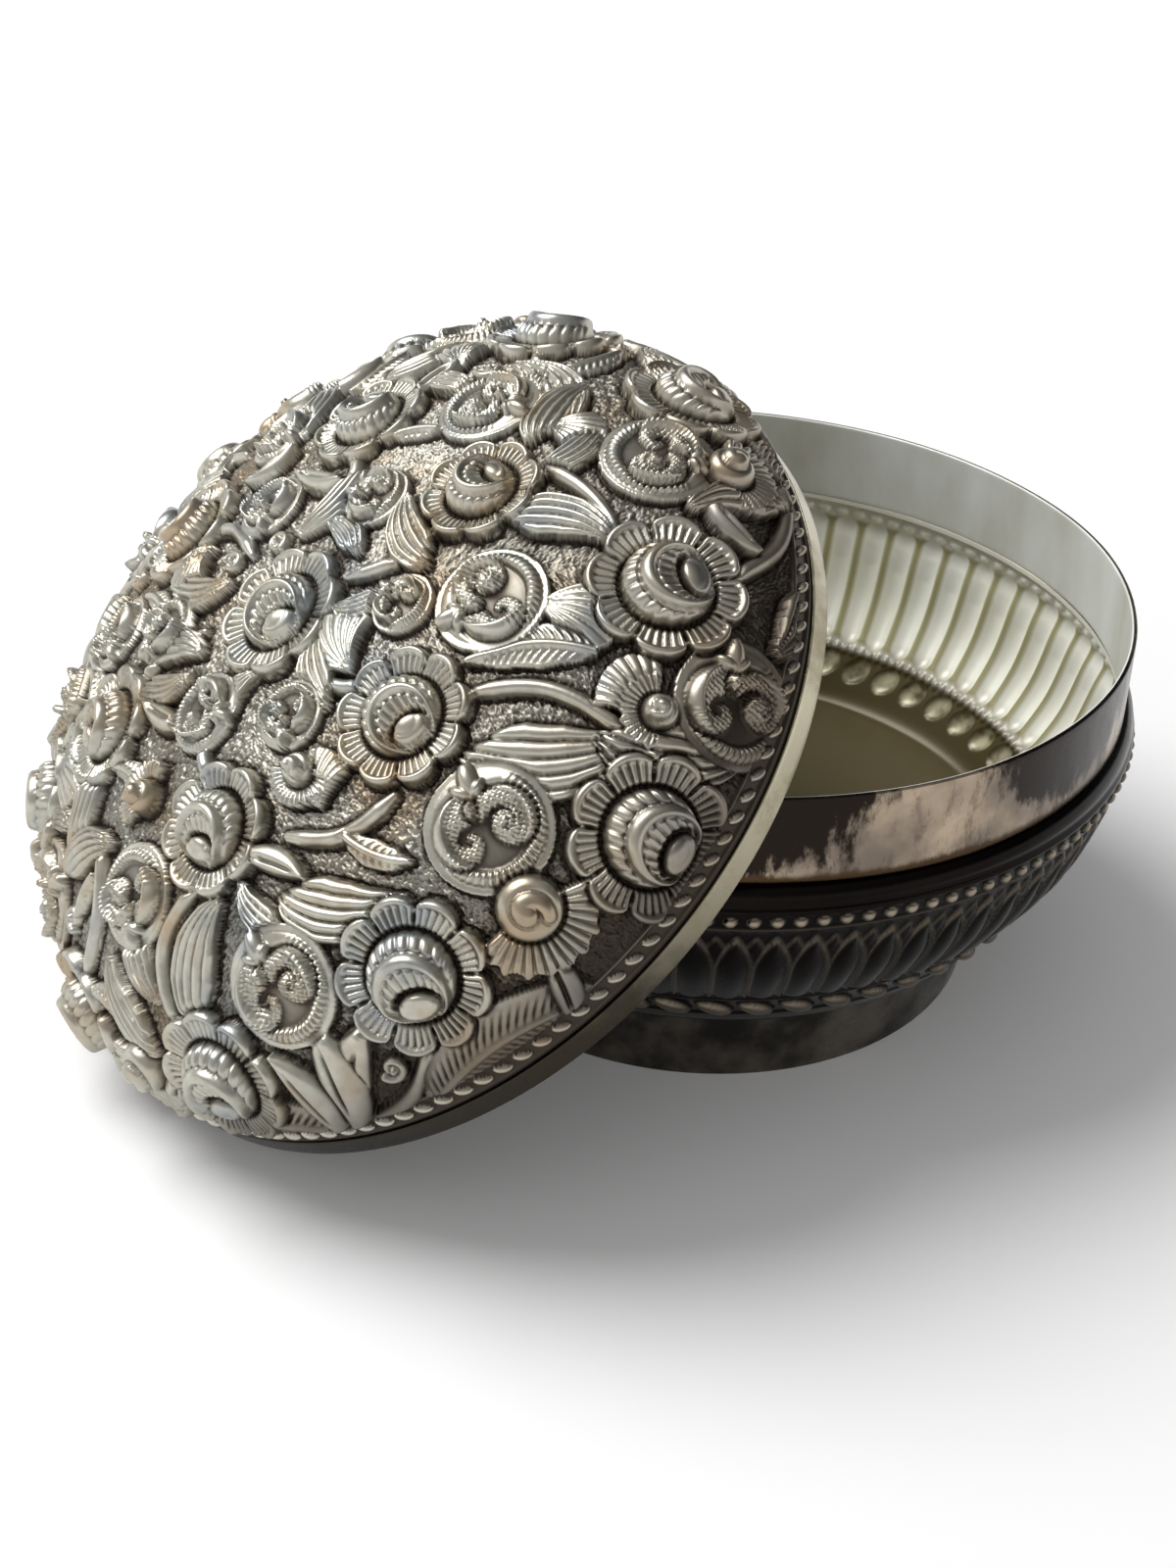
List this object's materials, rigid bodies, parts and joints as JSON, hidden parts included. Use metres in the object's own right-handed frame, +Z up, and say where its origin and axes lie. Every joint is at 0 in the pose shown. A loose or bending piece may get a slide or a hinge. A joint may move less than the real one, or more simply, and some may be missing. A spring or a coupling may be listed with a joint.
{
  "type": "round silver box",
  "caption": "Round lidded silver box: a fluted bowl with a plain neck on a ring foot, and a domed lid raised with flowers and leaves that lifts off and leans beside it.",
  "frame": {"origin": "centre of the foot ring's base, on the surface that the box stands on", "axes": "+Z up along the bowl's axis; the lid leans on the bowl from the -X side, and the part is mirror-symmetric about the XZ plane apart from its ornament"},
  "size_m": [0.1835, 0.1414, 0.107],
  "materials": {
    "foot_silver": "tarnished smooth silver",
    "bowl_silver": "chased silver, dark outside and pale inside",
    "neck_silver": "polished silver with tarnish patches",
    "lid_strip_silver": "bright worn silver",
    "lid_silver": "repousse silver, dark in the recesses"
  },
  "bodies": {
    "bowl": {"foot_ring": "foot_silver", "bowl_body": "bowl_silver", "neck_band": "neck_silver"},
    "lid": {"lid_band": "lid_strip_silver", "lid_dome": "lid_silver"}
  },
  "joints": [
    {"name": "lid_lift", "type": "slide", "parent": "bowl", "child": "lid", "axis": [-0.6665, 0, 0.7455], "range_m": [0, 0.12]}
  ]
}
